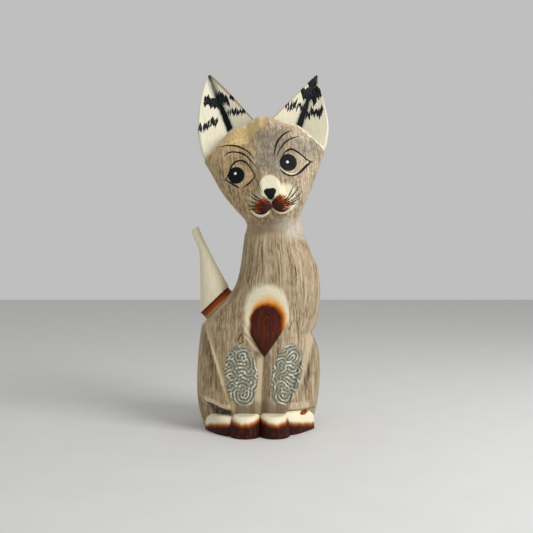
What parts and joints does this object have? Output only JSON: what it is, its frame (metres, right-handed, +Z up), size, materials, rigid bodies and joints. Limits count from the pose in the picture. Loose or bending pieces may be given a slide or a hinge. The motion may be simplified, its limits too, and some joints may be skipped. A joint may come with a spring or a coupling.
{
  "type": "wooden cat figurine",
  "caption": "Seated cat figurine carved from light wood, with a tilted head, painted ears and paws, an upright tail and oval scrollwork let into the front legs.",
  "frame": {"origin": "middle of the flat underside, on the surface that the cat stands on", "axes": "+Z up; the cat looks along -Y; its own left side is +X"},
  "size_m": [0.1594, 0.1229, 0.3999],
  "materials": {
    "limewashed_wood": "lime-washed and sealed, dark grain, painted details",
    "white_paint": "brushed white paint with dark markings, satin varnish",
    "dowel_wood": "plain, unfinished",
    "scroll_paste": "piped relief, off-white over grey, matt"
  },
  "bodies": {
    "root": {"torso": "limewashed_wood", "head": "limewashed_wood", "left_ear": "white_paint", "right_ear": "white_paint", "tail": "white_paint", "neck_dowel": "dowel_wood", "tail_dowel": "dowel_wood", "left_ear_dowel": "dowel_wood", "right_ear_dowel": "dowel_wood", "left_leg_scrollwork": "scroll_paste", "right_leg_scrollwork": "scroll_paste"}
  },
  "joints": []
}
